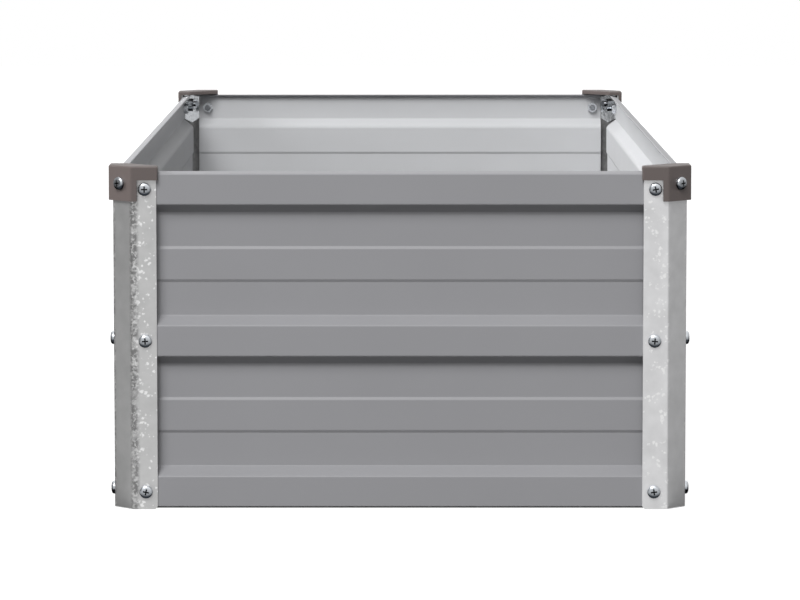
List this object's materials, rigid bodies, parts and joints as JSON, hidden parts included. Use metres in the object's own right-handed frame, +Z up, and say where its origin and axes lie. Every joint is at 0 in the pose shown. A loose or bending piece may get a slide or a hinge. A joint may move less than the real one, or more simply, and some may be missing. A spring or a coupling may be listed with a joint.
{
  "type": "raised garden bed",
  "caption": "Rectangular open-bottomed raised garden bed of ribbed sheet panels bolted to chamfered corner posts with moulded corner caps.",
  "frame": {"origin": "centre of the bed's footprint, on the ground that the corner posts stand on", "axes": "+X across the bed to the right of someone facing the pictured end, +Y along the bed away from them, +Z up"},
  "size_m": [0.406, 1.006, 0.2402],
  "materials": {
    "panel_coating": "satin grey powder coat on thin galvanised sheet",
    "galvanised_post": "hot-dip galvanised with fine spangle",
    "galvanised_plate": "galvanised, brighter than the posts",
    "cap_plastic": "matt grey-brown moulded plastic",
    "zinc_fasteners": "bright zinc plate"
  },
  "bodies": {
    "root": {"front_panel": "panel_coating", "back_panel": "panel_coating", "left_panel": "panel_coating", "right_panel": "panel_coating", "post_front_left": "galvanised_post", "post_front_right": "galvanised_post", "post_back_left": "galvanised_post", "post_back_right": "galvanised_post", "cap_front_left": "cap_plastic", "cap_front_right": "cap_plastic", "cap_back_left": "cap_plastic", "cap_back_right": "cap_plastic", "backing_plate_front_left": "galvanised_plate", "backing_plate_front_right": "galvanised_plate", "backing_plate_back_left": "galvanised_plate", "backing_plate_back_right": "galvanised_plate", "panel_screws_front_left": "zinc_fasteners", "panel_screws_front_right": "zinc_fasteners", "panel_screws_back_left": "zinc_fasteners", "panel_screws_back_right": "zinc_fasteners", "panel_nuts_front_left": "zinc_fasteners", "panel_nuts_front_right": "zinc_fasteners", "panel_nuts_back_left": "zinc_fasteners", "panel_nuts_back_right": "zinc_fasteners", "cap_screw_front_left": "zinc_fasteners", "cap_screw_front_right": "zinc_fasteners", "cap_screw_back_left": "zinc_fasteners", "cap_screw_back_right": "zinc_fasteners", "cap_nut_front_left": "zinc_fasteners", "cap_nut_front_right": "zinc_fasteners", "cap_nut_back_left": "zinc_fasteners", "cap_nut_back_right": "zinc_fasteners"}
  },
  "joints": []
}
